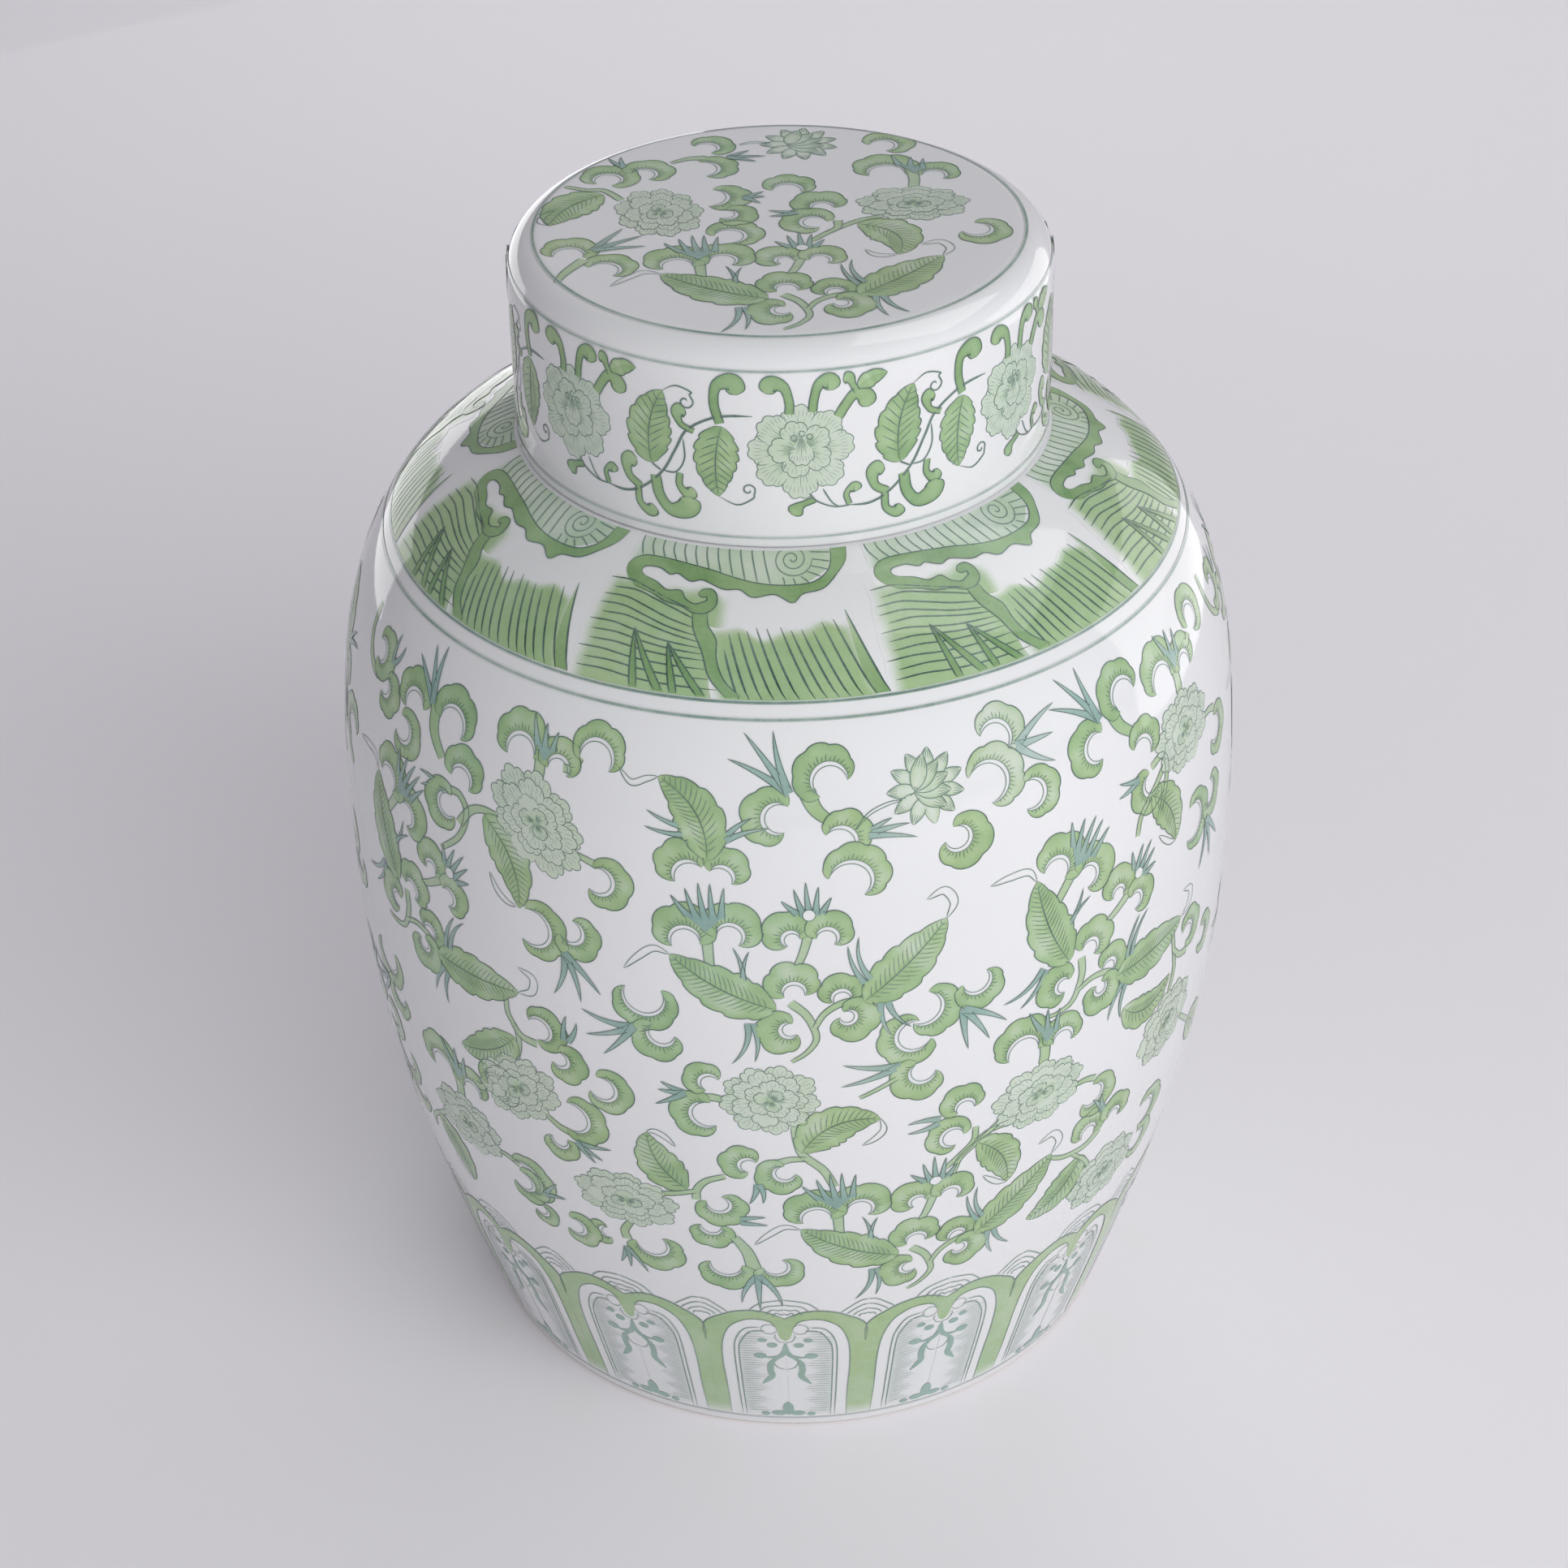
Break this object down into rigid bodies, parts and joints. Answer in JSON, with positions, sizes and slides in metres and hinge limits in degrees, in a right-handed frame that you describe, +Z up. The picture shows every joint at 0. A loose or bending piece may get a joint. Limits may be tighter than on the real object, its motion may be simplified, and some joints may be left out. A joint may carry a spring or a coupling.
{
  "type": "ginger jar",
  "caption": "Round high-shouldered porcelain ginger jar with a short hidden neck and a flat-topped cap lid that lifts off; green painted sprays on white glaze.",
  "frame": {"origin": "centre of the circle the foot stands on, on the jar's axis", "axes": "+Z up along the jar's axis, -Y the side seen first"},
  "size_m": [0.26, 0.26, 0.35],
  "materials": {
    "jar_glaze": "clear gloss glaze over white porcelain, with green and teal underglaze painting",
    "lid_glaze": "clear gloss glaze over white porcelain, with green and teal underglaze painting"
  },
  "bodies": {
    "jar": {"jar_body": "jar_glaze"},
    "lid": {"lid": "lid_glaze"}
  },
  "joints": [
    {"name": "lid_lift", "type": "slide", "parent": "jar", "child": "lid", "axis": [0, 0, 1], "range_m": [0, 0.09]}
  ]
}
